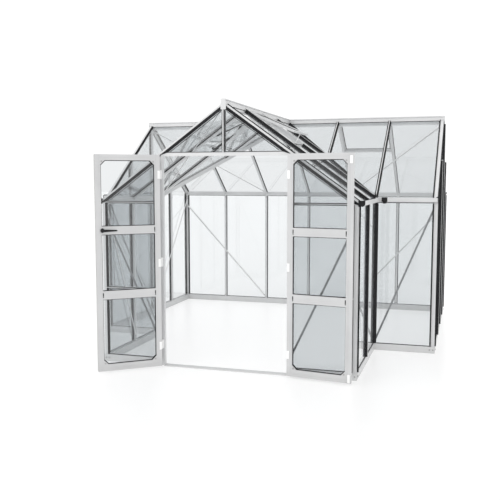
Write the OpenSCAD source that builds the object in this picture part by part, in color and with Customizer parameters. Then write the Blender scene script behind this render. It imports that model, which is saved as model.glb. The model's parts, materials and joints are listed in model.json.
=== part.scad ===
// Walk-in glass greenhouse on a T-shaped plan: a main range with a gable at
// each end and a shorter porch wing in front of it with the double doors.
// Millimetres, +Z up, origin on the ground in the middle of the doorway,
// +Y into the building, +X to the right as one walks in.

/* [Plan] */
// Glazing module of walls and roof
bay = 620; // [560:10:760]
// Bays from the middle line to the porch corner
porch_half_bays = 2; // [2]
// Bays from the doorway back to the main range
porch_bays = 2; // [2]
// Bays from the middle line to the main gable
range_half_bays = 3; // [3]

/* [Heights] */
// Top of the base sills
sill_h = 70; // [50:1:100]
// Eave line of the roof glass
eave_h = 1592; // [1500:1:1920]
// Line where the two roof slopes would meet
apex_h = 2480; // [2350:1:2700]
// Top of the bar over the doorway
lintel_top = 2041; // [1960:1:2060]
// Height of that bar
lintel_h = 33; // [25:1:45]
// Middle cross bar of the side lights
transom_z = 740; // [600:1:900]
// Upper cross bar of the side lights, below the eave line
head_drop = 16; // [10:1:40]

/* [Bars] */
// Inner flange of a glazing bar, its face width
flange_w = 24; // [20:1:36]
// Inner flange of a glazing bar, its depth behind the glass
flange_d = 26; // [18:1:34]
// Nose of a glazing bar between two panes
nose_w = 8; // [6:1:14]
// How far the nose stands out from the glass
nose_out = 24; // [16:1:28]
// Glass thickness
glass_t = 4; // [3:0.5:6]
// How far the corner posts stand out from the glass
post_out = 6; // [2:1:10]
// Width of the door posts
door_post_w = 40; // [30:1:50]
// Width of the ridge beams
ridge_w = 36; // [28:1:46]
// Ridge beam above the apex line
ridge_rise = 48; // [40:1:60]
// Width of the valley bars
valley_w = 44; // [36:1:60]
// Width of the flat braces
brace_w = 20; // [14:1:26]
// Thickness of the flat braces
brace_t = 3; // [2:0.5:4]

/* [Sills and gutters] */
// Sill outside the glass
sill_out = 10; // [6:1:20]
// Sill inside the bars
sill_ledge = 10; // [6:1:20]
// Height of the door threshold
threshold_h = 10; // [6:1:14]
// Gutter width
gutter_w = 58; // [46:1:80]
// Gutter height
gutter_h = 40; // [32:1:60]
// Gutter wall
gutter_t = 4; // [3:0.5:6]
// Gutter floor below the eave line
gutter_drop = 26; // [20:1:30]

/* [Doors] */
// Thickness of a leaf
leaf_t = 30; // [24:1:38]
// Underside of a leaf
leaf_bottom = 16; // [15:1:22]
// Leaf top over the lintel's lower edge
leaf_cover = 12; // [5:1:20]
// Gap between the closed leaves
meeting_gap = 14; // [12:1:18]
// Gap between a closed leaf and its posts
door_gap = 6; // [5:1:8]
// Width of a leaf's stiles
stile_w = 53; // [48:1:80]
// Height of a leaf's top rail
top_rail_h = 54; // [45:1:80]
// Height of the upper cross rail
mid_rail_h = 75; // [50:1:90]
// Height of the lower cross rail
low_rail_h = 78; // [50:1:90]
// Height of the bottom rail
bottom_rail_h = 64; // [55:1:110]
// Underside of the upper cross rail
mid_rail_z = 1290; // [1200:1:1400]
// Underside of the lower cross rail
low_rail_z = 690; // [600:1:800]
// How far the left leaf stands open from closed
left_open = 141; // [90:0.1:175]
// How far the right leaf stands open from closed
right_open = 171.5; // [90:0.1:175]
// Radius of a hinge knuckle
hinge_r = 6; // [5:0.5:7.5]
// A leaf's edge and face from its hinge line
hinge_off = 8; // [8:1:10]

/* [Roof vents] */
// Length of a vent down the slope
vent_len = 560; // [450:1:680]
// Sash above the glass line
vent_t = 18; // [12:1:24]
// How far the porch vents stand open
porch_vent_open = 12; // [0:1:30]
// How far the back vent stands open
back_vent_open = 16; // [0:1:30]

/* [Hidden] */
HB = porch_half_bays * bay;          // porch half width
PD = porch_bays * bay;               // porch depth
HR = range_half_bays * bay;          // range half length
RD = 2 * HB;                         // range depth, same span as the porch
YB = PD + RD;                        // back wall line
YR = PD + HB;                        // main ridge line
A = atan((apex_h - eave_h) / HB);    // roof pitch
CA = cos(A);
TA = (apex_h - eave_h) / HB;
fi = glass_t + flange_d;             // inner face of the bars
brace_step = 110;                    // crossing braces pass clear of each other
post_w = fi + post_out;              // corner posts, flush inside
edge_w = fi + 4;                     // gable rafters, covering the posts
sill_in = fi + sill_ledge;
beam_bottom = eave_h - fi / CA;      // underside of the eave beams
RT = HB - ridge_w / 2;               // roof run to the side of the ridge
ridge_top = apex_h + ridge_rise;
ridge_bottom = eave_h + RT * TA - fi / CA - 5;
head_z = eave_h - head_drop;
gutter_bottom = eave_h - gutter_drop;
gutter_top = gutter_bottom + gutter_h;
BIG = 6000;
hinge_x = bay;                       // the doorway is two bays wide
post_x0 = hinge_x - 15;              // door post, from its reveal outward
post_x1 = post_x0 + door_post_w;
hinge_y = -(door_gap + leaf_t + hinge_off);
leaf_w = hinge_x - hinge_off - meeting_gap / 2;
leaf_top = lintel_top - lintel_h + leaf_cover;

silver = [0.80, 0.81, 0.82];
pane = [0.80, 0.87, 0.90, 0.35];
black = [0.05, 0.05, 0.05];
white = [0.93, 0.93, 0.93];

// ---------- placing helpers ----------
// wall frames: X along the wall, Y inward from the outer glass face
module back_at() { translate([0, YB, 0]) rotate([0, 0, 180]) children(); }
module right_at(x, y) { translate([x, y, 0]) rotate([0, 0, 90]) children(); }
module both() { children(); mirror([1, 0, 0]) children(); }

// a plate outlined in X and Z, from Y = y0 inward
module face_plate(y0, t) {
  translate([0, y0 + t, 0]) rotate([90, 0, 0]) linear_extrude(t) children();
}
// an outline in Y and Z, run along X from x0
module run_x(x0, len) {
  translate([x0, 0, 0]) rotate([90, 0, 90]) linear_extrude(len) children();
}
module slab(x0, x1, y0, y1, z0, z1) {
  translate([x0, y0, z0]) cube([x1 - x0, y1 - y0, z1 - z0]);
}
function roof_z(y) = eave_h + y * TA;
// band between two offsets square to the roof slope
module band(y0, y1, d0, d1) {
  polygon([[y0, roof_z(y0) + d0 / CA], [y1, roof_z(y1) + d0 / CA],
           [y1, roof_z(y1) + d1 / CA], [y0, roof_z(y0) + d1 / CA]]);
}
// frame in a slope: X along the eave, Y up the slope, Z square to the glass
module on_slope() {
  translate([0, HB, apex_h]) rotate([A, 0, 0]) children();
}

// ---------- bars ----------
// upright glazing bar from z0 to z1 at x
module wall_bar(x, z0, z1) {
  slab(x - flange_w / 2, x + flange_w / 2, glass_t, fi, z0, z1);
  slab(x - nose_w / 2, x + nose_w / 2, -nose_out, glass_t, z0, z1);
}
// sloping glazing bar at x, from run y0 to run y1
// the nose sits 1 mm into the flange and runs on over the eave beam
module roof_bar(x) {
  run_x(x - flange_w / 2, flange_w) band(fi, RT, -fi, -glass_t);
  run_x(x - nose_w / 2, nose_w) polygon([
    [0, roof_z(0) - glass_t / CA], [fi, roof_z(fi) - glass_t / CA],
    [fi, roof_z(fi) - (glass_t + 1) / CA], [RT, roof_z(RT) - (glass_t + 1) / CA],
    [RT, roof_z(RT) + nose_out / CA], [0, roof_z(0) + nose_out / CA]]);
}
// everything of a gable wall that lies under its rafters and its ridge
module under_gable() {
  w = ridge_w / 2;
  face_plate(-60, 160) polygon([
    [-10, -10], [RD + 10, -10], [RD + 10, roof_z(-10) - fi / CA],
    [HB + w, roof_z(RT) - fi / CA], [HB + w, ridge_bottom], [HB - w, ridge_bottom],
    [HB - w, roof_z(RT) - fi / CA], [-10, roof_z(-10) - fi / CA]]);
}

// ---------- sills, posts ----------
module front_and_back_sills() color(silver) {
  both() slab(post_x1, HB + sill_out, -sill_out, sill_in, 0, sill_h);
  both() slab(HB + sill_out, HR + sill_out, PD - sill_out, PD + sill_in, 0, sill_h);
  slab(-HR - sill_out, HR + sill_out, YB - sill_in, YB + sill_out, 0, sill_h);
}
module side_sills() color(silver) both() {
  slab(HB - sill_in, HB + sill_out, sill_in, PD + sill_in, 0, sill_h);
  slab(HR - sill_in, HR + sill_out, PD + sill_in, YB - sill_in, 0, sill_h);
}
module door_threshold() color(silver)
  slab(-post_x0, post_x0, -30, sill_in, 0, threshold_h);

module corner_posts() color(silver) {
  // porch front, range front and range back, cut off under the rafters
  both() intersection() {
    slab(HB - fi, HB + post_out, -post_out, fi, sill_h, BIG);
    porch_slice();
  }
  both() right_at(HR, PD) for (x = [-post_out, RD - fi]) intersection() {
    slab(x, x + post_w, -post_out, fi, sill_h, BIG);
    under_gable();
  }
  both() slab(HB - fi, HB + 14, PD - 14, PD + fi, sill_h, beam_bottom);
}
module porch_slice() { translate([-HB, 0, 0]) under_gable(); }

module door_posts() color(silver) both() intersection() {
  slab(post_x0, post_x1, 0, fi, 0, lintel_top - lintel_h);
  porch_slice();
}
module door_lintel() color(silver) intersection() {
  slab(-post_x1, post_x1, 0, fi, lintel_top - lintel_h, lintel_top);
  porch_slice();
}

// ---------- wall bars ----------
module porch_front_bars() color(silver) {
  // king post over the doorway
  intersection() { wall_bar(0, lintel_top, BIG); porch_slice(); }
  // cross bars of the side lights
  both() for (z = [transom_z, head_z]) intersection() {
    union() {
      slab(post_x1, HB - fi, glass_t, fi, z - 16, z + 10);
      slab(post_x1, HB - fi, -8, glass_t, z - 5, z + 1);
    }
    porch_slice();
  }
}
module porch_side_bars() color(silver) both()
  right_at(HB, 0) wall_bar(bay, sill_h, beam_bottom);

module gable_end_bars() color(silver) both()
  right_at(HR, PD) for (i = [1:3]) intersection() {
    wall_bar(i * bay, sill_h, BIG);
    under_gable();
  }

module back_wall_bars() color(silver)
  back_at() for (i = [-2:2]) wall_bar(i * bay, sill_h, beam_bottom);

// ---------- ridges and valleys ----------
module ridge_section() {
  w = ridge_w / 2;
  polygon([[-w, ridge_bottom], [w, ridge_bottom], [w, ridge_top - 18],
           [w + 9, ridge_top - 14], [w + 9, ridge_top - 6], [8, ridge_top],
           [-8, ridge_top], [-w - 9, ridge_top - 6], [-w - 9, ridge_top - 14],
           [-w, ridge_top - 18]]);
}
module main_ridge() color(silver)
  translate([0, YR, 0]) run_x(-HR - 8, 2 * HR + 16) ridge_section();
module porch_ridge() color(silver)
  difference() {
    rotate([0, 0, 90]) run_x(-8, YR + 8 - ridge_w / 2) ridge_section();
    slab(-60, 60, YR - ridge_w / 2 - 9, YR, ridge_top - 18, ridge_top + 10);
  }

// plan regions either side of the right-hand valley
module plan_prism() { linear_extrude(BIG) children(); }
module porch_side_of_valley(gap) {
  g = gap * sqrt(2);
  plan_prism() polygon([[-100, -200], [HB + 200, -200], [HB + 200, PD - 200 - g],
                        [-100, YR + 100 - g]]);
}
module range_side_of_valley(gap) {
  g = gap * sqrt(2);
  plan_prism() polygon([[HR + 200, PD - (HR + 200 - HB) + g], [HR + 200, YR + 100],
                        [-100 + g, YR + 100]]);
}
module valley_bars() color(silver) both() {
  w = valley_w / 2;
  s = w * sqrt(2);
  // porch-side half, then range-side half, meeting on the valley line
  intersection() {
    right_at(HB, 0) run_x(PD + fi, HB) band(fi, RT, -fi - 6, -glass_t);
    plan_prism() polygon([[HB, PD], [0, YR], [-s, YR], [HB - s, PD]]);
    slab(ridge_w / 2, HB - fi, PD, YR - ridge_w / 2, 0, BIG);
  }
  intersection() {
    translate([0, PD, 0]) run_x(0, HB) band(fi, RT, -fi - 6, -glass_t);
    plan_prism() polygon([[HB, PD], [HB, PD + s], [0, YR + s], [0, YR]]);
    slab(ridge_w / 2, HB, PD + fi, YR - ridge_w / 2, 0, BIG);
  }
}

// ---------- eaves ----------
module eave_section() {
  polygon([[0, beam_bottom], [fi, beam_bottom], [fi, roof_z(fi) - glass_t / CA],
           [0, roof_z(0) - glass_t / CA]]);
}
module gutter_section() {
  polygon([[0, gutter_bottom - 1], [0, gutter_bottom + gutter_t],
           [-gutter_w + gutter_t, gutter_bottom + gutter_t],
           [-gutter_w + gutter_t, gutter_top], [-gutter_w, gutter_top],
           [-gutter_w, gutter_bottom - 1]]);
}
module porch_eave_beams() color(silver) both()
  right_at(HB, 0) run_x(edge_w, PD - edge_w) eave_section();
module range_eave_beams() color(silver) {
  both() translate([0, PD, 0]) run_x(HB - fi, HR - edge_w - HB + fi) eave_section();
  back_at() run_x(-HR + edge_w, 2 * HR - 2 * edge_w) eave_section();
}
module porch_gutters() color(silver) both()
  right_at(HB, 0) run_x(-post_out, PD + post_out - gutter_w) gutter_section();
module range_gutters() color(silver) {
  both() translate([0, PD, 0]) run_x(HB + post_out, HR - HB) gutter_section();
  back_at() run_x(-HR - post_out, 2 * HR + 2 * post_out) gutter_section();
}
module end_cap() {
  run_x(0, 6) polygon([[-2, gutter_bottom - 9], [-2, gutter_top + 2],
    [-gutter_w - 4, gutter_top + 2], [-gutter_w - 4, gutter_bottom + 6],
    [-gutter_w + 12, gutter_bottom - 9]]);
}
module gutter_end_caps() color(black) both() {
  right_at(HB, 0) translate([-post_out - 6, 0, 0]) end_cap();
  translate([HR + post_out, PD, 0]) end_cap();
  back_at() translate([-HR - post_out - 6, 0, 0]) end_cap();
}

// ---------- roof bars ----------
// gable edge: one rafter each side of a ridge, mating at the ridge sides
module edge_rafter() { run_x(0, edge_w) band(0, RT, -fi, nose_out - 12); }
module gable_rafters() color(silver) both() {
  right_at(HB, 0) edge_rafter();
  translate([HR - edge_w, PD, 0]) edge_rafter();
  back_at() translate([-HR, 0, 0]) edge_rafter();
}
module porch_roof_bars() color(silver) both() {
  right_at(HB, 0) roof_bar(bay);
  intersection() {
    right_at(HB, 0) union() {
      roof_bar(2 * bay);
      roof_bar(3 * bay);
    }
    porch_side_of_valley(valley_w / 2);
  }
}
module range_front_roof_bars() color(silver) both()
  intersection() {
    translate([0, PD, 0]) union() {
      roof_bar(bay);
      roof_bar(2 * bay);
    }
    range_side_of_valley(valley_w / 2);
  }
module back_roof_bars() color(silver)
  back_at() for (i = [-2:2]) roof_bar(i * bay);

// ---------- wall glass ----------
module wall_pane(x0, x1, z0, z1) { slab(x0 + 1, x1 - 1, 0, glass_t, z0, z1); }
module porch_front_glass() color(pane) {
  both() wall_pane(post_x1, HB - fi, sill_h, transom_z - 6);
  both() wall_pane(post_x1, HB - fi, transom_z + 2, head_z - 6);
  // triangles beside the doorway head and over the lintel
  both() intersection() {
    wall_pane(post_x1, HB - fi, head_z + 2, BIG);
    porch_slice();
  }
  both() intersection() {
    slab(nose_w / 2 + 1, post_x1 - 1, 0, glass_t, lintel_top, BIG);
    porch_slice();
  }
}
module porch_side_glass() color(pane) both() right_at(HB, 0) {
  wall_pane(fi, bay - nose_w / 2, sill_h, beam_bottom);
  wall_pane(bay + nose_w / 2, PD - 14, sill_h, beam_bottom);
}
module range_front_glass() color(pane) both() translate([0, PD, 0])
  wall_pane(HB + 14, HR - fi, sill_h, beam_bottom);
module gable_end_glass() color(pane) both() right_at(HR, PD)
  intersection() {
    union() {
      wall_pane(fi, bay - nose_w / 2, sill_h, BIG);
      wall_pane(bay + nose_w / 2, 2 * bay - nose_w / 2, sill_h, BIG);
      wall_pane(2 * bay + nose_w / 2, 3 * bay - nose_w / 2, sill_h, BIG);
      wall_pane(3 * bay + nose_w / 2, 4 * bay - fi, sill_h, BIG);
    }
    under_gable();
  }
module back_wall_glass() color(pane) back_at() {
  for (i = [-2:1])
    wall_pane(i * bay + nose_w / 2, (i + 1) * bay - nose_w / 2, sill_h, beam_bottom);
  wall_pane(-HR + fi, -2 * bay - nose_w / 2, sill_h, beam_bottom);
  wall_pane(2 * bay + nose_w / 2, HR - fi, sill_h, beam_bottom);
}

// ---------- roof glass ----------
module roof_pane(x0, x1, y1) {
  run_x(x0 + 1, x1 - x0 - 2) band(0, y1, -glass_t, 0);
}
vent_run = HB - (vent_len + 4) * CA;   // where the glass stops under a vent
module porch_roof_glass() color(pane) both() {
  right_at(HB, 0) {
    roof_pane(edge_w, bay - nose_w / 2, RT);
    roof_pane(bay + nose_w / 2, 2 * bay - nose_w / 2, vent_run);
  }
  intersection() {
    right_at(HB, 0) union() {
      roof_pane(2 * bay + nose_w / 2, 3 * bay - nose_w / 2, RT);
      roof_pane(3 * bay + nose_w / 2, 4 * bay, RT);
    }
    porch_side_of_valley(2);
    slab(-60, HB, 0, YR - ridge_w / 2 - 1, 0, BIG);
  }
}
module range_front_roof_glass() color(pane) both() intersection() {
  translate([0, PD, 0]) union() {
    roof_pane(0, bay - nose_w / 2, RT);
    roof_pane(bay + nose_w / 2, 2 * bay - nose_w / 2, RT);
    roof_pane(2 * bay + nose_w / 2, HR - edge_w, RT);
  }
  range_side_of_valley(2);
  slab(ridge_w / 2 + 1, HR, PD, YR, 0, BIG);
}
module back_roof_glass() color(pane) back_at() {
  roof_pane(-HR + edge_w, -2 * bay - nose_w / 2, RT);
  roof_pane(-2 * bay + nose_w / 2, -bay - nose_w / 2, vent_run);
  roof_pane(-bay + nose_w / 2, -nose_w / 2, RT);
  roof_pane(nose_w / 2, bay - nose_w / 2, RT);
  roof_pane(bay + nose_w / 2, 2 * bay - nose_w / 2, vent_run);
  roof_pane(2 * bay + nose_w / 2, HR - edge_w, RT);
}

// ---------- roof vents ----------
// cross bar between two roof bars under the foot of a vent
module vent_sill(x0) {
  on_slope() slab(x0 + flange_w / 2, x0 + bay - flange_w / 2,
                  -vent_len - 14, -vent_len + 6, -glass_t - 16, -glass_t - 0.05);
}
// a sash turns about the lower top corner of its head rail
vent_hinge = -ridge_w / 2 / CA - 6;
module sash_frame(open) {
  on_slope() translate([0, vent_hinge, -glass_t]) rotate([-open, 0, 0])
    translate([0, -vent_hinge, glass_t]) children();
}
module vent_sash(x0, open) sash_frame(open) {
  x1 = x0 + nose_w / 2 + 2;
  x2 = x0 + bay - nose_w / 2 - 2;
  difference() {
    slab(x1, x2, -vent_len, vent_hinge, -glass_t, vent_t);
    slab(x1 + 20, x2 - 20, -vent_len + 22, vent_hinge - 22, -glass_t - 1, vent_t + 1);
  }
}
module vent_pane(x0, open) sash_frame(open)
  slab(x0 + nose_w / 2 + 22, x0 + bay - nose_w / 2 - 22,
       -vent_len + 22, vent_hinge - 22, 2, 6);
module vent_sills() color(silver) {
  both() right_at(HB, 0) vent_sill(bay);
  back_at() { vent_sill(bay); vent_sill(-2 * bay); }
}
module roof_vents() color(silver) {
  both() right_at(HB, 0) vent_sash(bay, porch_vent_open);
  back_at() { vent_sash(bay, back_vent_open); vent_sash(-2 * bay, 0); }
}
module vent_glass() color(pane) {
  both() right_at(HB, 0) vent_pane(bay, porch_vent_open);
  back_at() { vent_pane(bay, back_vent_open); vent_pane(-2 * bay, 0); }
}
// bar that holds an open vent up, from its sill to just inside the sash's end
module vent_stay(x0, open) {
  reach = vent_len + vent_hinge - 6;
  top = [vent_hinge - reach * cos(open), -glass_t + reach * sin(open)];
  foot = -vent_len + 3;
  on_slope() run_x(x0 + bay / 2 - 9, 18) polygon([[foot - 2, -glass_t - 0.05],
    [foot + 2, -glass_t - 0.05], [top[0] + 2, top[1] - 0.6], [top[0] - 2, top[1] + 0.5]]);
}
module vent_stays() color(silver) {
  both() right_at(HB, 0) vent_stay(bay, porch_vent_open);
  back_at() vent_stay(bay, back_vent_open);
}

// ---------- braces and plates ----------
// flat bar from (xa, za) to (xb, zb) on the inner face of a wall
module wall_brace(xa, za, xb, zb) {
  w = brace_w / 2;
  L = norm([xb - xa, zb - za]);
  ux = (xb - xa) / L;
  uz = (zb - za) / L;
  face_plate(fi, brace_t) polygon([
    [xa - uz * w, za + ux * w], [xa + uz * w, za - ux * w],
    [xb + uz * w, zb - ux * w], [xb - uz * w, zb + ux * w]]);
}
brace_top = beam_bottom - 30;
module wall_braces() color(silver) both() {
  // of two walls that meet at a corner, one starts its brace a step lower
  right_at(HB, 0) wall_brace(20, brace_top, bay - 6, sill_h + 40);
  wall_brace(HB - 20, brace_top - brace_step, hinge_x + 10, sill_h + 85);
  translate([0, PD, 0]) wall_brace(HR - 20, brace_top, HB + 18, sill_h + 40);
  right_at(HR, PD) {
    wall_brace(20, brace_top - brace_step, 2 * bay - 16, sill_h + 30);
    wall_brace(RD - 20, brace_top, 2 * bay + 16, sill_h + 30);
  }
  back_at() wall_brace(-HR + 20, brace_top - brace_step, -HR + 2 * bay - 10, sill_h + 30);
}
module slope_brace(xa, ya, xb, yb) {
  w = brace_w / 2;
  L = norm([xb - xa, yb - ya]);
  ux = (xb - xa) / L;
  uy = (yb - ya) / L;
  on_slope() translate([0, 0, -fi - brace_t]) linear_extrude(brace_t) polygon([
    [xa - uy * w, ya + ux * w], [xa + uy * w, ya - ux * w],
    [xb + uy * w, yb - ux * w], [xb - uy * w, yb + ux * w]]);
}
roof_len = HB / CA;
module roof_braces() color(silver) {
  both() {
    right_at(HB, 0) slope_brace(20, -60, 2 * bay - 10, -roof_len + 80);
    back_at() slope_brace(-HR + 20, -60, -bay - 10, -roof_len + 80);
  }
}
// ---------- doors ----------
// leaf frame: hinge axis at the origin, X along the leaf, Y inward
leaf_x0 = hinge_off;
leaf_y0 = hinge_off;
module leaf_at(side, open) {
  // closed leaves turn outward about their own side's axis
  if (side < 0) translate([-hinge_x, hinge_y, 0]) rotate([0, 0, -open]) children();
  else translate([hinge_x, hinge_y, 0]) rotate([0, 0, open]) mirror([1, 0, 0]) children();
}
module leaf_frame() {
  x1 = leaf_x0 + leaf_w;
  y1 = leaf_y0 + leaf_t;
  difference() {
    slab(leaf_x0, x1, leaf_y0, y1, leaf_bottom, leaf_top);
    slab(leaf_x0 + stile_w, x1 - stile_w, leaf_y0 - 1, y1 + 1,
         leaf_bottom + bottom_rail_h, low_rail_z);
    slab(leaf_x0 + stile_w, x1 - stile_w, leaf_y0 - 1, y1 + 1,
         low_rail_z + low_rail_h, mid_rail_z);
    slab(leaf_x0 + stile_w, x1 - stile_w, leaf_y0 - 1, y1 + 1,
         mid_rail_z + mid_rail_h, leaf_top - top_rail_h);
  }
}
module leaf_panes() {
  x0 = leaf_x0 + stile_w;
  x1 = leaf_x0 + leaf_w - stile_w;
  y0 = leaf_y0 + 10;
  slab(x0, x1, y0, y0 + glass_t, leaf_bottom + bottom_rail_h, low_rail_z);
  slab(x0, x1, y0, y0 + glass_t, low_rail_z + low_rail_h, mid_rail_z);
  slab(x0, x1, y0, y0 + glass_t, mid_rail_z + mid_rail_h, leaf_top - top_rail_h);
}
hinge_zs = [213, 1008, 1836];
// moving knuckle and its strap on the outer face of the leaf
module leaf_hinges() for (z = hinge_zs) {
  difference() {
    union() {
      translate([0, 0, z - 20]) cylinder(h = 40, r = hinge_r, $fn = 24);
      slab(0, 50, 2, leaf_y0, z - 20, z + 20);
    }
    translate([0, 0, z - 30]) cylinder(h = 60, r = 2.8, $fn = 24);
  }
}
// fixed knuckles with their pin, on a block that stands on the door post
module hinge_brackets() color(white) both() for (z = hinge_zs) {
  translate([hinge_x, hinge_y, 0]) {
    for (s = [-1, 1]) difference() {
      union() {
        translate([0, 0, z + s * 31 - 10]) cylinder(h = 20, r = hinge_r, $fn = 24);
        slab(0, 20, -3, 4, z + s * 31 - 10, z + s * 31 + 10);
      }
      translate([0, 0, z - 60]) cylinder(h = 120, r = 2.5, $fn = 24);
    }
    translate([0, 0, z - 41]) cylinder(h = 82, r = 2.5, $fn = 24);
    slab(13, 25, 3, -hinge_y, z - 41, z + 41);
    slab(-2, 25, 18, -hinge_y, z - 41, z + 41);
  }
}

module left_door_frame() color(silver) leaf_at(-1, left_open) leaf_frame();
module left_door_glass() color(pane) leaf_at(-1, left_open) leaf_panes();
module left_door_hinges() color(white) leaf_at(-1, left_open) leaf_hinges();
module right_door_frame() color(silver) leaf_at(1, right_open) leaf_frame();
module right_door_glass() color(pane) leaf_at(1, right_open) leaf_panes();
module right_door_hinges() color(white) leaf_at(1, right_open) leaf_hinges();

// lever handle on the inner face, where the free stile meets the cross rail
module left_door_handle() color(black) leaf_at(-1, left_open)
  translate([leaf_x0 + leaf_w - 60, leaf_y0 + leaf_t, mid_rail_z + mid_rail_h / 2])
    rotate([-90, 0, 0]) {
      cylinder(h = 6, r = 19, $fn = 48);
      translate([0, 0, 5]) cylinder(h = 35, r = 9, $fn = 32);
      translate([0, 0, 34]) linear_extrude(12) polygon([[14, -7], [8, -12], [-8, -12],
        [-125, -6], [-129, 0], [-125, 6], [-8, 12], [8, 12], [14, 7]]);
    }
// bolts at the head and foot of the free stile
module right_door_bolts() color(white) leaf_at(1, right_open)
  translate([leaf_x0 + leaf_w - 16, leaf_y0 + leaf_t, 0]) {
    slab(-12, 12, 0, 12, leaf_top - 90, leaf_top - 22);
    slab(-12, 12, 0, 12, leaf_bottom + 8, leaf_bottom + 80);
  }

front_and_back_sills();
side_sills();
door_threshold();
corner_posts();
door_posts();
door_lintel();
porch_front_bars();
porch_side_bars();
gable_end_bars();
back_wall_bars();
porch_ridge();
main_ridge();
valley_bars();
porch_eave_beams();
range_eave_beams();
porch_gutters();
range_gutters();
gutter_end_caps();
gable_rafters();
porch_roof_bars();
range_front_roof_bars();
back_roof_bars();
vent_sills();
porch_front_glass();
porch_side_glass();
range_front_glass();
gable_end_glass();
back_wall_glass();
porch_roof_glass();
range_front_roof_glass();
back_roof_glass();
roof_vents();
vent_glass();
vent_stays();
wall_braces();
roof_braces();
hinge_brackets();
left_door_frame();
left_door_glass();
left_door_hinges();
left_door_handle();
right_door_frame();
right_door_glass();
right_door_hinges();
right_door_bolts();
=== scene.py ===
# Glass greenhouse on a T-shaped plan, shown around its CAD frame. Metres, +Z up,
# origin on the ground in the middle of the doorway, +Y into the building.
import json
from math import cos, pi, radians, sin
import bpy
import numpy as np
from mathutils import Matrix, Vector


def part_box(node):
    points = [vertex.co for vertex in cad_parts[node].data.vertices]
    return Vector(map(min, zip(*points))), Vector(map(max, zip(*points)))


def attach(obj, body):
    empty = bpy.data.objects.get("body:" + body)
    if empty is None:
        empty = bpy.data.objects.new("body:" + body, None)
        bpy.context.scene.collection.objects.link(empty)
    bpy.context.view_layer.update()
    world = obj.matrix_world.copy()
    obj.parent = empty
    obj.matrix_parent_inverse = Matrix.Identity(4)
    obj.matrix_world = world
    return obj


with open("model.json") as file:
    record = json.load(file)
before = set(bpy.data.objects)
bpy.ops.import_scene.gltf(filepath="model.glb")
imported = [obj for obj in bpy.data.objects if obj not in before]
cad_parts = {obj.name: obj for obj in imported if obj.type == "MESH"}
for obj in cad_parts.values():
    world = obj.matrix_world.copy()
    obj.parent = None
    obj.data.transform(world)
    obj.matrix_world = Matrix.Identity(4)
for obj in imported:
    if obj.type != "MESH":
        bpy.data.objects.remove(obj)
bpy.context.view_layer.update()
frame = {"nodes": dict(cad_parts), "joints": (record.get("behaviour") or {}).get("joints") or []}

# --- Aluminium frame -------------------------------------------------------------
# Extruded aluminium sections: sills, posts, glazing bars, ridges, eaves and gutters,
# bolted at their ends. Satin silver with slight tone clouds and a little dust near the
# ground. The vents' thin sections are paler, a painted light that lifts them out of the
# shade they sit in, and the door leaves' a little darker.


def new_material(name):
    """An empty node material, its node list, its link list and its output."""
    material = bpy.data.materials.new(name)
    material.use_nodes = True
    nodes, links = material.node_tree.nodes, material.node_tree.links
    nodes.clear()
    return material, nodes, links, nodes.new("ShaderNodeOutputMaterial")


def coated(name, light, dark, rough, metal, grain, bump, dust, dust_top=0.12, sheen=0.5):
    """Coated or moulded surface: cloudy tone between light and dark, roughness that
    wanders with the cloud, a fine pebble bump, and dust that fades out upward from
    the ground. sheen is how strongly the surface mirrors."""
    material, nodes, links, out = new_material(name)
    coords = nodes.new("ShaderNodeTexCoord")
    cloud = nodes.new("ShaderNodeTexNoise")
    cloud.inputs["Scale"].default_value = 3.1
    cloud.inputs["Detail"].default_value = 5.0
    links.new(coords.outputs["Object"], cloud.inputs["Vector"])
    tone = nodes.new("ShaderNodeValToRGB")
    tone.color_ramp.elements[0].position = 0.32
    tone.color_ramp.elements[0].color = (*dark, 1)
    tone.color_ramp.elements[1].position = 0.68
    tone.color_ramp.elements[1].color = (*light, 1)
    links.new(cloud.outputs["Fac"], tone.inputs["Fac"])
    height = nodes.new("ShaderNodeSeparateXYZ")
    links.new(coords.outputs["Object"], height.inputs[0])
    low = nodes.new("ShaderNodeMapRange")
    low.inputs["From Min"].default_value = dust_top
    low.inputs["From Max"].default_value = 0.0
    low.inputs["To Max"].default_value = 0.35
    links.new(height.outputs["Z"], low.inputs["Value"])
    dusty = nodes.new("ShaderNodeMix")
    dusty.data_type = "RGBA"
    dusty.inputs["B"].default_value = (*dust, 1)
    links.new(low.outputs["Result"], dusty.inputs["Factor"])
    links.new(tone.outputs["Color"], dusty.inputs["A"])
    shade = nodes.new("ShaderNodeBsdfPrincipled")
    shade.inputs["Metallic"].default_value = metal
    shade.inputs["Specular IOR Level"].default_value = sheen
    links.new(dusty.outputs["Result"], shade.inputs["Base Color"])
    wander = nodes.new("ShaderNodeMapRange")
    wander.inputs["To Min"].default_value = rough - 0.06
    wander.inputs["To Max"].default_value = rough + 0.08
    links.new(cloud.outputs["Fac"], wander.inputs["Value"])
    links.new(wander.outputs["Result"], shade.inputs["Roughness"])
    pebble = nodes.new("ShaderNodeTexNoise")
    pebble.inputs["Scale"].default_value = grain
    pebble.inputs["Detail"].default_value = 2.0
    links.new(coords.outputs["Object"], pebble.inputs["Vector"])
    raised = nodes.new("ShaderNodeBump")
    raised.inputs["Strength"].default_value = bump
    raised.inputs["Distance"].default_value = 0.001
    links.new(pebble.outputs["Fac"], raised.inputs["Height"])
    links.new(raised.outputs["Normal"], shade.inputs["Normal"])
    links.new(shade.outputs[0], out.inputs[0])
    return material


silver = coated("silver_aluminium", (0.74, 0.742, 0.745), (0.68, 0.683, 0.688), 0.38, 0.30,
                900.0, 0.05, (0.52, 0.52, 0.51))


def finish_nodes(material, *names):
    """Puts one finish on every material slot of the named CAD parts."""
    for name in names:
        mesh = frame["nodes"][name].data
        if not mesh.materials:
            mesh.materials.append(material)
        for i in range(len(mesh.materials)):
            mesh.materials[i] = material


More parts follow.
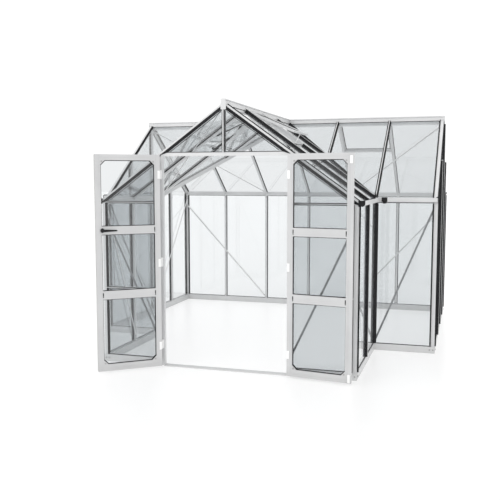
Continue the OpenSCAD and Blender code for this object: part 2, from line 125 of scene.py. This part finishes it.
finish_nodes(silver, "front_and_back_sills", "side_sills", "door_threshold",
             "corner_posts", "door_posts", "door_lintel", "porch_front_bars",
             "porch_side_bars", "gable_end_bars", "back_wall_bars", "porch_ridge",
             "main_ridge", "valley_bars", "porch_eave_beams", "range_eave_beams",
             "porch_gutters", "range_gutters", "gable_rafters", "porch_roof_bars",
             "range_front_roof_bars", "back_roof_bars")
leaf_silver = coated("leaf_aluminium", (0.65, 0.652, 0.655), (0.59, 0.592, 0.597), 0.38, 0.35,
                     900.0, 0.05, (0.42, 0.42, 0.41))
finish_nodes(leaf_silver, "left_door_frame", "right_door_frame")
# Painted light: a paler copy of the aluminium for the vent sills and sashes, to lift them out of
# their shade.
vent_lit_silver = coated("vent_aluminium_painted_light", (0.72, 0.725, 0.73), (0.66, 0.665, 0.67), 0.40, 0.2,
                     900.0, 0.05, (0.42, 0.42, 0.41))
finish_nodes(vent_lit_silver, "vent_sills", "roof_vents")

# --- Braces ----------------------------------------------------------------------
# Flat bright strips screwed diagonally across the inner faces of walls and roof, in
# a paler anodised finish than the sections, with painted shade on their outer faces.

pale_strip = coated("pale_strip", (0.80, 0.80, 0.80), (0.72, 0.72, 0.725), 0.34, 0.15,
                    700.0, 0.04, (0.6, 0.6, 0.6))


def paint_shade_outside(material, shade_colour):
    """Faces that look away from the middle of the building take the shade colour, painted
    shade: those where (middle - place) . normal is negative."""
    nodes, links = material.node_tree.nodes, material.node_tree.links
    shade = next(n for n in nodes if n.type == "BSDF_PRINCIPLED")
    plain = shade.inputs["Base Color"].links[0].from_socket
    coords = nodes.new("ShaderNodeTexCoord")
    inward = nodes.new("ShaderNodeVectorMath")
    inward.operation = "SUBTRACT"
    inward.inputs[0].default_value = (0, 2.3, 1.2)
    links.new(coords.outputs["Object"], inward.inputs[1])
    looks = nodes.new("ShaderNodeVectorMath")
    looks.operation = "DOT_PRODUCT"
    links.new(inward.outputs["Vector"], looks.inputs[0])
    links.new(coords.outputs["Normal"], looks.inputs[1])
    away = nodes.new("ShaderNodeMapRange")
    away.inputs["From Min"].default_value = -0.01
    away.inputs["From Max"].default_value = 0.01
    away.inputs["To Min"].default_value = 1.0
    away.inputs["To Max"].default_value = 0.0
    links.new(looks.outputs["Value"], away.inputs["Value"])
    both = nodes.new("ShaderNodeMix")
    both.data_type = "RGBA"
    both.inputs["B"].default_value = (*shade_colour, 1)
    links.new(away.outputs["Result"], both.inputs["Factor"])
    links.new(plain, both.inputs["A"])
    links.new(both.outputs["Result"], shade.inputs["Base Color"])


# Painted shade: dark grey on the braces' outer faces; their inner faces keep the pale colour.
paint_shade_outside(pale_strip, (0.36, 0.36, 0.365))
finish_nodes(pale_strip, "wall_braces", "roof_braces")

# --- Glass -----------------------------------------------------------------------
# Clear 4 mm toughened panes, bedded on rubber in the bars. Each pane takes a little
# of the light, has a faint cold tint, and mirrors the sky at grazing angles.


def clear_glass(name, tint):
    """Sheet glass: see-through with a tint, and on its outer faces a mirror share
    0.05 + 0.95 (1 - cos)^3. A broad faint cloud changes how clean the pane is."""
    material, nodes, links, out = new_material(name)
    coords = nodes.new("ShaderNodeTexCoord")
    cloud = nodes.new("ShaderNodeTexNoise")
    cloud.inputs["Scale"].default_value = 1.3
    cloud.inputs["Detail"].default_value = 3.0
    links.new(coords.outputs["Object"], cloud.inputs["Vector"])
    ramp = nodes.new("ShaderNodeValToRGB")
    ramp.color_ramp.elements[0].position = 0.3
    ramp.color_ramp.elements[0].color = (*[c * 0.985 for c in tint], 1)
    ramp.color_ramp.elements[1].position = 0.7
    ramp.color_ramp.elements[1].color = (*tint, 1)
    links.new(cloud.outputs["Fac"], ramp.inputs["Fac"])
    clear = nodes.new("ShaderNodeBsdfTransparent")
    links.new(ramp.outputs["Color"], clear.inputs["Color"])
    gloss = nodes.new("ShaderNodeBsdfGlossy")
    gloss.inputs["Roughness"].default_value = 0.02
    gloss.inputs["Color"].default_value = (1, 1, 1, 1)
    facing = nodes.new("ShaderNodeLayerWeight")
    facing.inputs["Blend"].default_value = 0.5
    steep = nodes.new("ShaderNodeMath")
    steep.operation = "POWER"
    links.new(facing.outputs["Facing"], steep.inputs[0])
    steep.inputs[1].default_value = 3.0
    share = nodes.new("ShaderNodeMapRange")
    share.inputs["To Min"].default_value = 0.05
    share.inputs["To Max"].default_value = 1.0
    links.new(steep.outputs[0], share.inputs["Value"])
    side = nodes.new("ShaderNodeNewGeometry")
    outer = nodes.new("ShaderNodeMapRange")
    outer.inputs["To Min"].default_value = 1.0
    outer.inputs["To Max"].default_value = 0.0
    links.new(side.outputs["Backfacing"], outer.inputs["Value"])
    mirror = nodes.new("ShaderNodeMath")
    mirror.operation = "MULTIPLY"
    links.new(share.outputs["Result"], mirror.inputs[0])
    links.new(outer.outputs["Result"], mirror.inputs[1])
    mix = nodes.new("ShaderNodeMixShader")
    links.new(mirror.outputs[0], mix.inputs[0])
    links.new(clear.outputs[0], mix.inputs[1])
    links.new(gloss.outputs[0], mix.inputs[2])
    links.new(mix.outputs[0], out.inputs[0])
    return material


pane_glass = clear_glass("pane_glass", (0.884, 0.894, 0.899))
finish_nodes(pane_glass, "porch_front_glass", "porch_side_glass", "range_front_glass",
             "gable_end_glass", "back_wall_glass", "porch_roof_glass",
             "range_front_roof_glass", "back_roof_glass", "vent_glass",
             "left_door_glass", "right_door_glass")

# --- Plastic fittings ------------------------------------------------------------
# Injection-moulded nylon: gutter end caps and lever handle in black, hinge blocks and
# door bolts in white.

black_nylon = coated("black_nylon", (0.016, 0.016, 0.018), (0.009, 0.009, 0.010), 0.45, 0.0,
                     420.0, 0.08, (0.03, 0.03, 0.03), sheen=0.25)
white_nylon = coated("white_nylon", (0.96, 0.96, 0.955), (0.92, 0.92, 0.915), 0.40, 0.0,
                     420.0, 0.08, (0.75, 0.75, 0.74))
finish_nodes(black_nylon, "gutter_end_caps", "left_door_handle")
finish_nodes(white_nylon, "hinge_brackets", "left_door_hinges", "right_door_hinges",
             "right_door_bolts", "vent_stays")

# --- Glazing seals ---------------------------------------------------------------
# Black rubber glazing strips pressed in round every pane: tall wedges beside the
# glazing bars that leave only the bar's bright nose showing, low beads along sills,
# eaves and cross bars, and a flat band over the gable rafters. A black lip beside the
# bars' inner flanges is rubber and also painted shade on the flanges' side faces.


def loose_parts(node):
    """The separate solids of a CAD part, each as an array of its corner points.
    Points are matched to 0.01 mm, then every triangle pulls its three labels down to
    the lowest of them until nothing changes."""
    mesh = frame["nodes"][node].data
    points = np.zeros(len(mesh.vertices) * 3)
    mesh.vertices.foreach_get("co", points)
    points = points.reshape(-1, 3)
    mesh.calc_loop_triangles()
    tris = np.zeros(len(mesh.loop_triangles) * 3, dtype=int)
    mesh.loop_triangles.foreach_get("vertices", tris)
    _, first, same = np.unique(np.round(points, 5), axis=0, return_index=True,
                               return_inverse=True)
    tris = same.ravel()[tris.reshape(-1, 3)]
    label = np.arange(len(first))
    while True:
        new = label.copy()
        np.minimum.at(new, tris.ravel(), np.repeat(label[tris].min(1), 3))
        if (new == label).all():
            break
        label = new
    return [points[first[label == k]] for k in np.unique(label)]


def pane_outline(points, outside):
    """Outer face of a flat pane. The plane's normal is the thinnest direction of the
    points (least singular vector), turned to look along outside; the corners of that
    face are sorted by angle round their middle, counter-clockwise from outside."""
    middle = points.mean(0)
    normal = np.linalg.svd(points - middle)[2][2]
    if normal @ np.asarray(outside, float) < 0:
        normal = -normal
    reach = (points - middle) @ normal
    face = points[reach > reach.max() - 1e-4]
    middle = face.mean(0)
    u = np.cross([0.0, 0.0, 1.0], normal)
    u /= np.linalg.norm(u)
    v = np.cross(normal, u)
    face = face[np.argsort(np.arctan2((face - middle) @ v, (face - middle) @ u))]
    before = face - np.roll(face, 1, 0)
    after = np.roll(face, -1, 0) - face
    before /= np.linalg.norm(before, axis=1)[:, None]
    after /= np.linalg.norm(after, axis=1)[:, None]
    bend = np.linalg.norm(np.cross(before, after), axis=1)
    return face[bend > 0.02], normal


def edge_strips(corners, normal, profiles):
    """One closed strip along each edge of a pane. A profile point (a, h) lies at
    corner + a mitre + h normal, where mitre = (m1 + m2) / (1 + m1.m2) for the inward
    normals m1, m2 of the two edges that meet there, so strips meet on the mitre. Six
    profile points: the ring quads, and two quads to close each end. An edge whose
    profile is None stays bare."""
    kept = np.array([p is not None for p in profiles])
    after = np.roll(corners, -1, 0) - corners
    after /= np.linalg.norm(after, axis=1)[:, None]
    m2 = np.cross(normal, after)
    m1 = np.roll(m2, 1, 0)
    mitre = (m1 + m2) / (1 + (m1 * m2).sum(1))[:, None]
    profiles = np.asarray([p for p in profiles if p is not None], float)
    a, h = profiles[..., 0, None], profiles[..., 1, None]
    start = corners[kept, None] + a * mitre[kept, None] + h * normal
    corners, mitre = np.roll(corners, -1, 0)[kept], np.roll(mitre, -1, 0)[kept]
    end = corners[:, None] + a * mitre[:, None] + h * normal
    points = np.stack([start, end], 1).reshape(-1, 3)
    k = np.arange(6)
    ring = np.stack([k, 6 + k, 6 + (k + 1) % 6, (k + 1) % 6], -1)
    caps = np.array([[0, 1, 4, 5], [1, 2, 3, 4], [11, 10, 7, 6], [10, 9, 8, 7]])
    quads = np.concatenate([ring, caps])
    return points, (12 * np.arange(len(corners))[:, None, None] + quads).reshape(-1, 4)


def join(parts):
    """Several (points, quads) pieces as one, face numbers moved on by the points
    before them."""
    starts = np.cumsum([0] + [len(p) for p, _ in parts[:-1]])
    return (np.concatenate([p for p, _ in parts]),
            np.concatenate([q + s for s, (_, q) in zip(starts, parts)]))


def build(name, parts, material, body, smooth=False):
    """Makes one mesh object of (points, quads) parts with one finish, on a body."""
    points, faces = join(parts)
    mesh = bpy.data.meshes.new(name)
    mesh.from_pydata(points.tolist(), [], faces.tolist())
    mesh.materials.append(material)
    mesh.polygons.foreach_set("use_smooth", [smooth] * len(mesh.polygons))
    piece = bpy.data.objects.new(name, mesh)
    bpy.context.scene.collection.objects.link(piece)
    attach(piece, body)
    return piece


rubber = coated("seal_rubber", (0.020, 0.020, 0.022), (0.011, 0.011, 0.012), 0.6, 0.0,
                600.0, 0.1, (0.05, 0.05, 0.05), sheen=0.18)
# profiles as (distance into the pane, height over the glass)
wedge = [(0, -0.0003), (0.015, -0.0003), (0.0145, 0.003), (0.0105, 0.012),
         (0.0035, 0.0205), (0, 0.0205)]
bead = [(0, -0.0003), (0.006, -0.0003), (0.0058, 0.002), (0.004, 0.003), (0.001, 0.003), (0, 0.002)]
band = [(-0.026, -0.0003), (0.002, -0.0003), (0.002, 0.003), (0, 0.005), (-0.024, 0.005),
        (-0.026, 0.003)]
# The inner lip: black rubber beside the bars' inner flanges, also painted shade on their side
# faces.
rubber_shade_lip = [(0.008, -0.0082), (0.0135, -0.0078), (0.0145, -0.0060), (0.0145, -0.0037),
       (0.0085, -0.0037), (0.008, -0.0050)]


def seal_panes(name, node, outside, kind, body="building", inner=True):
    """Seals of every pane of a glass part. kind gives each edge's outer profile from
    its rise (0 level, 1 upright) and its middle. The inner lip runs beside the bars' inner
    flanges: black rubber, and also painted shade on the flanges' side faces."""
    parts = []
    for points in loose_parts(node):
        corners, normal = pane_outline(points, outside(points.mean(0)))
        run = np.roll(corners, -1, 0) - corners
        rise = np.abs(run[:, 2]) / np.linalg.norm(run, axis=1)
        parts.append(edge_strips(corners, normal, list(map(kind, rise, corners + run / 2))))
        if inner:
            parts.append(edge_strips(corners, normal, [rubber_shade_lip if r > 0.02 else None for r in rise]))
    return build(name, parts, rubber, body)


def sideways(p):
    return (np.sign(p[0]), 0, 0)


def wall_kind(rise, middle):
    """Level edges take a bead, upright ones a wedge, sloping ones the band over the
    gable rafter. The porch king post has no wedge beside it."""
    at_king_post = abs(middle[0]) < 0.1 and middle[1] < 0.1
    return bead if rise < 0.02 or at_king_post else band if rise < 0.98 else wedge


def roof_kind(rise, middle):
    return bead if rise < 0.02 else wedge


def all_bead(rise, middle):
    return bead


seal_panes("porch_front_seals", "porch_front_glass", lambda p: (0, -1, 0), wall_kind)
seal_panes("porch_side_seals", "porch_side_glass", sideways, wall_kind)
seal_panes("range_front_seals", "range_front_glass", lambda p: (0, -1, 0), wall_kind)
seal_panes("gable_end_seals", "gable_end_glass", sideways, wall_kind)
seal_panes("back_wall_seals", "back_wall_glass", lambda p: (0, 1, 0), wall_kind)
seal_panes("porch_roof_seals", "porch_roof_glass", lambda p: (np.sign(p[0]), 0, 1), roof_kind)
seal_panes("range_front_roof_seals", "range_front_roof_glass", lambda p: (0, -1, 1), roof_kind)
seal_panes("back_roof_seals", "back_roof_glass", lambda p: (0, 1, 1), roof_kind)
seal_panes("vent_seals", "vent_glass",
           lambda p: (np.sign(p[0]), 0, 1) if p[1] < 1.5 else (0, 1, 1), all_bead)

# --- Door leaves -----------------------------------------------------------------
# Four-profile aluminium leaves on pins: corner gussets screwed behind the glass, raised
# ribs of the profile, dark plugs in the cross rails' ends, and seals on the free edges.


def lofted(outline, levels, origin, axes):
    """Closed solid of rings: ring k is the even-cornered outline scaled by levels[k][1]
    and set levels[k][0] along the third axis. Quads join the rings and close the ends."""
    outline = np.asarray(outline, float)
    axes = np.asarray(axes, float)
    count = len(outline)
    along, scale = np.asarray(levels, float).T
    rings = np.concatenate([outline * scale[:, None, None],
                            np.broadcast_to(along[:, None, None], (len(along), count, 1))], -1)
    points = np.asarray(origin, float) + rings.reshape(-1, 3) @ axes
    j, k = np.arange(count), np.arange(len(along) - 1)[:, None]
    nxt = (j + 1) % count
    wall = np.stack([k * count + j, k * count + nxt, (k + 1) * count + nxt,
                     (k + 1) * count + j], -1).reshape(-1, 4)
    i = np.arange(count // 2 - 1)
    cap = np.stack([i, i + 1, count - 2 - i, count - 1 - i], -1)
    quads = np.concatenate([wall, cap[:, ::-1], cap + (len(along) - 1) * count])
    return points, quads[:, ::-1] if np.linalg.det(axes) < 0 else quads


def plate(size, centre, axes=np.eye(3), cut=0.0015):
    """Flat bar with its long edges and end edges cut back: an eight-sided outline in the
    first two axes, drawn in by the cut at both ends of the third."""
    u, v, w = np.asarray(size) / 2
    outline = [(u, -v + cut), (u, v - cut), (u - cut, v), (-u + cut, v),
               (-u, v - cut), (-u, -v + cut), (-u + cut, -v), (u - cut, -v)]
    draw = 1 - cut / max(u, v)
    return lofted(outline, [(-w, draw), (-w + cut, 1), (w - cut, 1), (w, draw)], centre, axes)


def ring_of(count, radius):
    """Regular outline: radius times (cos a, sin a) at even steps of a."""
    a = 2 * pi * np.arange(count) / count
    return radius * np.stack([np.cos(a), np.sin(a)], -1)


def screw(at, out):
    """Hexagon head over a round washer at a point of a surface, standing along out."""
    out = np.asarray(out, float) / np.linalg.norm(out)
    side = np.cross(out, [0.31, 0.47, 0.83])
    side /= np.linalg.norm(side)
    axes = np.array([side, np.cross(out, side), out])
    return [lofted(ring_of(12, 0.0085), [(-0.0005, 1), (0.0009, 1), (0.0014, 0.93)], at, axes),
            lofted(ring_of(6, 0.0058), [(0.0010, 1), (0.0050, 1), (0.0058, 0.82)], at, axes)]


hinge_cover = (0.024, 0.0035, 0.074)
steel = coated("zinc_steel", (0.50, 0.50, 0.49), (0.40, 0.40, 0.40), 0.30, 0.8,
               900.0, 0.05, (0.4, 0.4, 0.4))
edge_rubber = coated("pale_edge_rubber", (0.72, 0.72, 0.71), (0.64, 0.64, 0.63), 0.55, 0.0,
                     500.0, 0.08, (0.6, 0.6, 0.6))
gusset_leg, gusset_seal_width, gusset_screw_inset = 0.040, 0.011, 0.011
rib_width, rib_height, rib_shift = 0.003, 0.0016, 0.012
drip_rib_rise, head_rib_drop = 0.028, 0.026
corner_screw_x, corner_screw_z = 0.022, 0.030
plug_size, plug_inset = (0.009, 0.044, 0.003), 0.004
strip_reach, seal_reach = 0.006, 0.0055
for side in ("left_door", "right_door"):
    joint = next(j for j in frame["joints"] if j["child"] == side)
    turn, mirror = radians(joint["range_deg"][1]), 1 if side == "left_door" else -1
    pin = np.array(joint["pos_m"], float)
    leaf = np.array([(mirror * cos(turn), -sin(turn), 0), (mirror * sin(turn), cos(turn), 0),
                     (0, 0, 1)])
    up = leaf[2]
    seal_panes(side + "_seals", side + "_glass", lambda p, n=leaf[1]: n, all_bead,
               side, inner=False)
    seal_panes(side + "_outer_seals", side + "_glass", lambda p, n=leaf[1]: -n,
               all_bead, side, inner=False)
    frame_points = (np.concatenate(loose_parts(side + "_frame")) - pin) @ leaf.T
    low, high = frame_points.min(0), frame_points.max(0)
    panes = sorted([((p - pin) @ leaf.T) for p in loose_parts(side + "_glass")],
                   key=lambda p: p[0, 2])
    pane_low = np.array([p.min(0) for p in panes])
    pane_high = np.array([p.max(0) for p in panes])
    x0, x1 = pane_low[0, 0], pane_high[0, 0]
    face, back = high[1], low[1]

    def on_leaf(x, n, z):
        """Place at x along the leaf, n inward and z up from the pin's foot."""
        return pin + np.array([x, n, z]) @ leaf

    gussets, gusset_seals, screws, ribs, plugs = [], [], [], [], []
    for x, sx in ((x0, 1), (x1, -1)):
        for z, sz in ((pane_low[0, 2], 1), (pane_high[-1, 2], -1)):
            corner = np.array([(0, 0), (1, 0), (0.5, 0.5), (0, 1)])
            axes = [sx * leaf[0], sz * up, leaf[1]]
            gussets.append(lofted(corner * gusset_leg, [(0.004, 1), (face - back - 0.001, 1)],
                                  on_leaf(x, back, z), axes))
            gusset_seals.append(lofted(corner * (gusset_leg + gusset_seal_width),
                                       [(0.006, 1), (0.019, 1)], on_leaf(x, back, z), axes))
            for out, n in ((leaf[1], face - 0.001), (-leaf[1], back + 0.004)):
                screws += screw(on_leaf(x + sx * gusset_screw_inset, n,
                                        z + sz * gusset_screw_inset), out)
    for x in ((low[0] + x0) / 2 + rib_shift, (high[0] + x1) / 2 - rib_shift):
        ribs.append(plate((rib_width, 2 * rib_height, high[2] - low[2] - 0.004),
                          on_leaf(x, face, (low[2] + high[2]) / 2), leaf, 0.0005))
    rail_middles = (pane_high[:-1, 2] + pane_low[1:, 2]) / 2
    rib_lines = np.concatenate([[low[2] + drip_rib_rise], rail_middles - rib_shift,
                                [high[2] - head_rib_drop]])
    cross = np.array([leaf[1], up, leaf[0]])
    for z in rib_lines:
        ribs.append(plate((2 * rib_height, rib_width, x1 - x0 + 0.006),
                          on_leaf((x0 + x1) / 2, face, z), cross, 0.0005))
    for z in rail_middles:
        for x in (x0 + plug_inset, x1 - plug_inset):
            plugs.append(plate(plug_size, on_leaf(x, face, z), [leaf[0], up, -leaf[1]], 0.001))
    for z in (low[2] + corner_screw_z, high[2] - corner_screw_z):
        for x in (low[0] + corner_screw_x, high[0] - corner_screw_x):
            screws += screw(on_leaf(x, back, z), -leaf[1])
    build(side + "_gussets", gussets, leaf_silver, side)
    build(side + "_gusset_seals", gusset_seals, rubber, side)
    build(side + "_ribs", ribs, leaf_silver, side)
    knuckles = [(p[:, 2].min() + p[:, 2].max()) / 2 for p in loose_parts(side + "_hinges")]
    build(side + "_hinge_pads",
          [plate(hinge_cover, on_leaf(low[0] + 0.0125, face + 0.0012, z), leaf, 0.001)
           for z in knuckles], white_nylon, side)
    build(side + "_rail_plugs", plugs, black_nylon, side)
    build(side + "_screws", screws, steel, side)
    middle, tall = (low[2] + high[2]) / 2, high[2] - low[2] - 0.006
    if side == "left_door":
        build("left_door_edge_seal",
              [plate((0.006, 0.020, tall),
                     on_leaf(high[0] + seal_reach - 0.003, (face + back) / 2, middle), leaf)],
              edge_rubber, side)
    else:
        build("right_door_meeting_strip",
              [plate((0.024, 0.0035, tall), on_leaf(high[0] - 0.012, face + 0.0015, middle),
                     leaf, 0.001),
               plate((0.030, 0.003, tall),
                     on_leaf(high[0] + strip_reach - 0.015, face + 0.0045, middle), leaf, 0.001)],
              leaf_silver, side)

# --- Frame bolts -----------------------------------------------------------------
# Zinc bolts that clamp the bars, posts and braces together, seen from inside the
# building: one at each end of the porch side, gable end and back wall bars and the door
# posts, one on each of two faces at each end of the corner posts, and one at each end of
# every brace.

building_middle = np.array([0.0, 2.3, 1.2])
sill_top, beam_foot = 0.07, 1.555
brace_bolt_inset = 0.022
frame_bolts = []
for node, axes_of in (("porch_side_bars", (0,)), ("gable_end_bars", (0,)),
                      ("back_wall_bars", (1,)), ("corner_posts", (0, 1)),
                      ("door_posts", (1,))):
    for points in loose_parts(node):
        low, high = points.min(0), points.max(0)
        for axis in axes_of:
            out = np.zeros(3)
            out[axis] = np.sign((building_middle - (low + high) / 2)[axis])
            face = high[axis] if out[axis] > 0 else low[axis]
            for z in (max(low[2], sill_top) + 0.022, min(high[2], beam_foot) - 0.020):
                place = (low + high) / 2
                place[axis], place[2] = face, z
                frame_bolts += screw(place, out)
for node in ("wall_braces", "roof_braces"):
    for points in loose_parts(node):
        centre = points.mean(0)
        directions = np.linalg.svd(points - centre)[2]
        reach = np.abs((points - centre) @ directions.T).max(0)
        out = directions[2] * np.sign((building_middle - centre) @ directions[2])
        for end in (-1, 1):
            frame_bolts += screw(centre + directions[0] * end * (reach[0] - brace_bolt_inset)
                                 + out * reach[2], out)
build("frame_bolts", frame_bolts, steel, "building")

# --- Vent openers ----------------------------------------------------------------
# Wax-cylinder openers under the two porch vents: a black cylinder along the slope from
# the vent's sill, and a pair of flat steel arms that cross between sill and sash.

cylinders, arms = [], []
slope_low, slope_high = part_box("porch_roof_glass")
pitch = np.arctan2(slope_high[2] - slope_low[2], (slope_high[0] - slope_low[0]) / 2)
arm_reach, arm_spread, cylinder_drop = 0.27, 0.11, 0.050
porch_end = 1.5
for points in loose_parts("vent_sills"):
    sill = (points.min(0) + points.max(0)) / 2
    if sill[1] > porch_end:
        continue
    level = np.array([-np.sign(sill[0]), 0, 0])
    rise_way = level * cos(pitch) + np.array([0, 0, sin(pitch)])
    inside = level * sin(pitch) - np.array([0, 0, cos(pitch)])
    across = np.cross(inside, rise_way)
    foot = sill + inside * cylinder_drop
    lie = [across, inside, rise_way]
    cylinders.append(lofted(ring_of(20, 0.011),
                            [(0.012, 0.9), (0.016, 1), (0.205, 1), (0.209, 0.9)], foot, lie))
    cylinders.append(lofted(ring_of(12, 0.0045), [(0.205, 1), (0.262, 1)], foot, lie))
    cylinders.append(plate((0.060, 0.016, 0.026), sill + inside * 0.036,
                           [across, rise_way, inside], 0.002))
    for k, hand in enumerate((-1, 1)):
        start = foot + across * hand * arm_spread - inside * (0.030 - 0.006 * k)
        run = rise_way * arm_reach - across * hand * 2 * arm_spread
        length = np.linalg.norm(run)
        way = run / length
        arms.append(plate((0.014, 0.003, length), start + run / 2,
                          [np.cross(inside, way), inside, way], 0.0008))
        arms += screw(start + way * 0.012 + inside * 0.0015, inside)
        arms += screw(start + way * (length - 0.012) + inside * 0.0015, inside)
build("vent_opener_cylinders", cylinders, black_nylon, "building")
build("vent_opener_arms", arms, steel, "building")

# --- Sill corner plates ----------------------------------------------------------
# Pressed aluminium angles that join the base sills at the outer corners, each leg held
# by two bolts.

corner_plates, corner_bolts = [], []
leg, plate_height, plate_thick = 0.070, 0.052, 0.002
across_y = np.array([(0, 1, 0), (0, 0, 1), (1, 0, 0)], float)
across_x = np.array([(1, 0, 0), (0, 0, 1), (0, 1, 0)], float)
range_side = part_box("side_sills")[1][0]
sills_low, sills_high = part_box("front_and_back_sills")
range_front, porch_side = 1.23, 1.25
for x, y, sy in ((range_side, sills_high[1], 1), (range_side, range_front, -1),
                 (porch_side, sills_low[1], -1)):
    for sx in (-1, 1):
        corner_plates += [
            plate((leg, plate_height, plate_thick),
                  (sx * (x + plate_thick / 2), y - sy * leg / 2, 0.036), across_y, 0.0006),
            plate((leg, plate_height, plate_thick),
                  (sx * (x - leg / 2), y + sy * plate_thick / 2, 0.036), across_x, 0.0006)]
        for d in (0.018, 0.052):
            corner_bolts += screw((sx * (x + plate_thick), y - sy * d, 0.036), (sx, 0, 0))
            corner_bolts += screw((sx * (x - d), y + sy * plate_thick, 0.036), (0, sy, 0))
build("sill_corner_plates", corner_plates, silver, "building")
build("sill_corner_bolts", corner_bolts, steel, "building")

# --- Ridge end plates ------------------------------------------------------------
# Cut aluminium blanks riveted over the ends of the two ridge extrusions, with their
# upper corners sloped like the ridge's crown.

ridge_plates = []
ridge_outline = [(-0.026, 0), (0.026, 0), (0.026, 0.055), (0.018, 0.100), (-0.018, 0.100),
                 (-0.026, 0.055)]
low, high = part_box("main_ridge")
for sx in (-1, 1):
    ridge_plates.append(lofted(ridge_outline, [(0, 1), (0.002, 1), (0.003, 0.98)],
                               (sx * high[0], (low[1] + high[1]) / 2, low[2] + 0.002),
                               [(0, 1, 0), (0, 0, 1), (sx, 0, 0)]))
low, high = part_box("porch_ridge")
ridge_plates.append(lofted(ridge_outline, [(0, 1), (0.002, 1), (0.003, 0.98)],
                           (0, low[1], low[2] + 0.002), [(1, 0, 0), (0, 0, 1), (0, -1, 0)]))
build("ridge_end_plates", ridge_plates, silver, "building")

# --- Gutter outlets and verge clips ----------------------------------------------
# Black moulded outlets hooked under the inner ends of the short gutters, each with a
# stub for a down pipe, and black clips where a gable rafter meets its gutter.

outlets = []
outlet_x, outlet_y, outlet_z = 1.335, 1.211, 1.5855
clip_x, clip_z = 1.866, 1.606
for sx in (-1, 1):
    centre = np.array([sx * outlet_x, outlet_y, outlet_z])
    outlets.append(plate((0.062, 0.062, 0.045), centre, cut=0.003))
    outlets.append(lofted(ring_of(20, 0.019), [(0, 1.1), (0.006, 1), (0.018, 1), (0.020, 0.93)],
                          centre - (0, 0, 0.0215), [(1, 0, 0), (0, -1, 0), (0, 0, -1)]))
    for y, sy in ((1.236, -1), (3.724, 1)):
        outlets.append(plate((0.030, 0.030, 0.018), (sx * clip_x, y + sy * 0.010, clip_z),
                             cut=0.003))
build("gutter_outlets", outlets, black_nylon, "building")

# --- Studio ----------------------------------------------------------------------
# White floor in a white room, with one large soft light from the front left and above.
# The floor glows a little, so that it stays as pale under the glass as outside.

floor_mesh = bpy.data.meshes.new("floor")
floor_mesh.from_pydata([(-60, -40, -0.001), (60, -40, -0.001), (60, 80, -0.001), (-60, 80, -0.001)],
                       [], [(0, 1, 2, 3)])
floor = bpy.data.objects.new("floor", floor_mesh)
bpy.context.scene.collection.objects.link(floor)
floor_paint, nodes, links, out = new_material("floor_paint")
shade = nodes.new("ShaderNodeBsdfPrincipled")
shade.inputs["Base Color"].default_value = (0.38, 0.38, 0.38, 1)
shade.inputs["Emission Color"].default_value = (1, 1, 1, 1)
shade.inputs["Emission Strength"].default_value = 0.56
shade.inputs["Roughness"].default_value = 0.35
links.new(shade.outputs[0], out.inputs[0])
floor_mesh.materials.append(floor_paint)

world = bpy.data.worlds.new("studio")
world.use_nodes = True
world.node_tree.nodes["Background"].inputs["Color"].default_value = (1, 1, 1, 1)
world.node_tree.nodes["Background"].inputs["Strength"].default_value = 1.1
bpy.context.scene.world = world

key = bpy.data.lights.new("key", "AREA")
key.size = 8.0
key.energy = 300
key_object = bpy.data.objects.new("key", key)
key_object.location = (-6.0, -7.0, 10.0)
key_object.rotation_euler = (radians(42), 0, radians(-35))
bpy.context.scene.collection.objects.link(key_object)

camera = bpy.data.cameras.new("camera")
camera.sensor_width = 36.0
camera.lens = 51.93
camera.clip_end = 400
view = bpy.data.objects.new("camera", camera)
view.location = (2.160, -6.312, 1.804)
view.rotation_euler = (radians(84.31), 0, radians(16.82))
bpy.context.scene.collection.objects.link(view)
bpy.context.scene.camera = view
bpy.context.scene.view_settings.view_transform = "Standard"
bpy.context.scene.cycles.transparent_max_bounces = 40
